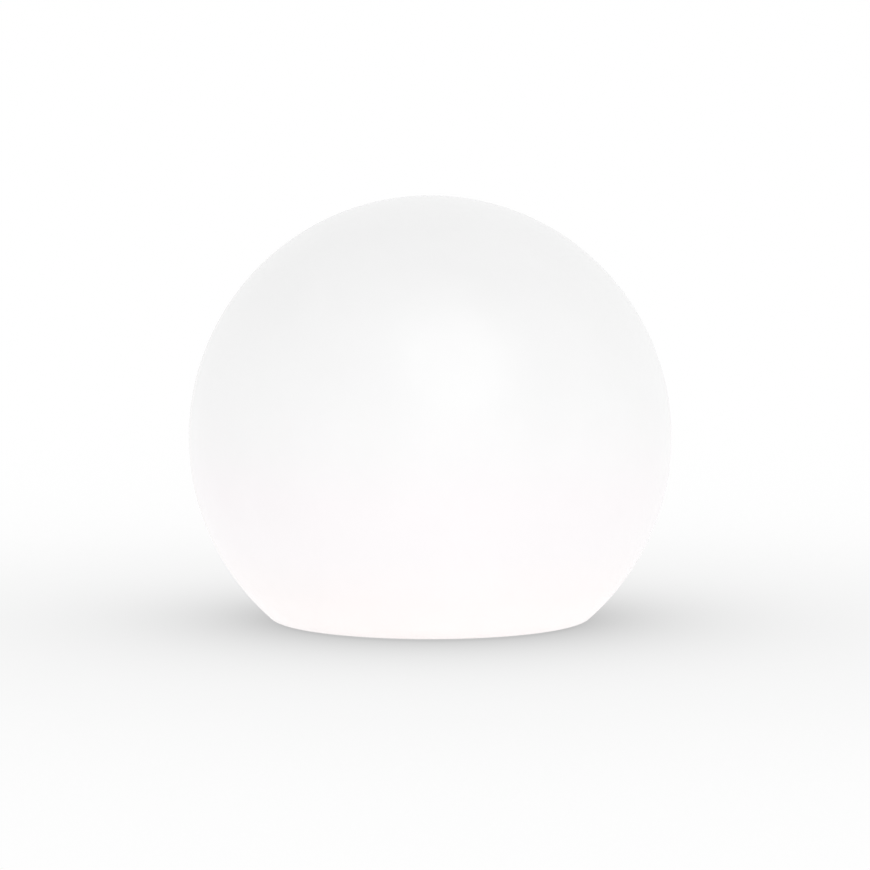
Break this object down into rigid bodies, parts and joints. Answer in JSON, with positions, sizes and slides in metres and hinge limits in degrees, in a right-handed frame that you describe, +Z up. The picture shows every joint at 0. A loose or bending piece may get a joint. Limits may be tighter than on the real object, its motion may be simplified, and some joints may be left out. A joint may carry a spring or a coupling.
{
  "type": "garden globe light",
  "caption": "Cordless opal ball light with a flat underside that screws onto a round weighted base unit.",
  "frame": {"origin": "centre of the feet's footprint on the ground, on the globe's axis", "axes": "+Z up along the globe's axis; +Y from the button towards the charging port, which are both underneath"},
  "size_m": [0.2999, 0.2998, 0.2645],
  "materials": {
    "opal_shell": "satin, translucent opal polyethylene, lit from inside",
    "brass": "turned, knurled",
    "grey_rubber": "matte silicone",
    "white_plastic": "fine moulded texture",
    "screw_steel": "bright",
    "slip_plastic": "smooth acetal",
    "black_rubber": "matte",
    "foot_rubber": "matte",
    "ballast_steel": "zinc plated",
    "black_plastic": "matte",
    "cell_wrap": "shrink film",
    "nickel_strip": "satin nickel",
    "foam": "closed-cell foam",
    "board_green": "solder mask",
    "board_white": "white solder mask",
    "chip_black": "moulded epoxy",
    "ferrite": "sintered",
    "capacitor_can": "bright sleeve",
    "connector_plastic": "nylon",
    "socket_steel": "bright",
    "led_yellow": "phosphor",
    "clear_plastic": "clear",
    "button_plastic": "soft-touch grey",
    "spring_steel": "drawn wire",
    "heat_sink_aluminium": "milled",
    "thermal_pad": "soft",
    "frosted_dome": "frosted polycarbonate",
    "lead_red": "silicone insulation",
    "lead_black": "silicone insulation"
  },
  "bodies": {
    "base_unit": {"base_seal": "black_rubber", "base_housing": "white_plastic", "bottom_plate": "white_plastic", "plate_gasket": "grey_rubber", "plate_screws": "screw_steel", "rubber_feet": "foot_rubber", "ballast_ring": "ballast_steel", "vent_plug": "black_plastic", "battery_cells": "cell_wrap", "battery_link": "nickel_strip", "battery_tabs": "nickel_strip", "battery_cradle": "black_plastic", "battery_pad": "foam", "control_board": "board_green", "controller_chip": "chip_black", "charger_chip": "chip_black", "power_inductor": "ferrite", "capacitors": "capacitor_can", "lead_connectors": "connector_plastic", "tact_switch": "chip_black", "charging_socket": "socket_steel", "socket_seal": "black_rubber", "status_led": "led_yellow", "light_pipe": "clear_plastic", "board_screws": "screw_steel", "button_seal": "black_rubber", "button_spring": "spring_steel", "spring_retainer": "black_plastic", "retainer_screws": "screw_steel", "flap_pin": "screw_steel", "heat_sink": "heat_sink_aluminium", "thermal_pad": "thermal_pad", "led_board": "board_white", "led_packages": "led_yellow", "led_board_screws": "screw_steel", "light_dome": "frosted_dome", "dome_gasket": "grey_rubber", "dome_screws": "screw_steel", "lead_grommet": "black_rubber", "led_leads": "lead_red", "battery_leads": "lead_black"},
    "turning_ring": {"slip_ring": "slip_plastic"},
    "globe": {"globe_shell": "opal_shell", "brass_inserts": "brass", "collar_gasket": "grey_rubber", "neck_collar": "white_plastic", "collar_screws": "screw_steel"},
    "button": {"button_cap": "button_plastic"},
    "flap": {"port_flap": "button_plastic", "flap_gasket": "black_rubber"}
  },
  "joints": [
    {"name": "globe_turn", "type": "hinge", "parent": "base_unit", "child": "turning_ring", "pos_m": [0, 0, 0.016], "axis": [0, 0, 1], "range_deg": [0, 120]},
    {"name": "globe_lift", "type": "slide", "parent": "turning_ring", "child": "globe", "axis": [0, 0, 1], "range_m": [0, 0.00601]},
    {"name": "power_button", "type": "slide", "parent": "base_unit", "child": "button", "axis": [0, 0, 1], "range_m": [0, 0.0012], "stiffness_N_per_m": 2500, "springref_m": -0.0004, "deforming": ["button_spring"]},
    {"name": "port_flap_hinge", "type": "hinge", "parent": "base_unit", "child": "flap", "pos_m": [0, 0.0324, 0.0044], "axis": [1, 0, 0], "range_deg": [0, 95]}
  ],
  "couplings": [
    {"joint": "globe_lift", "follows": "globe_turn", "m_per_rad": 0.0028648}
  ]
}
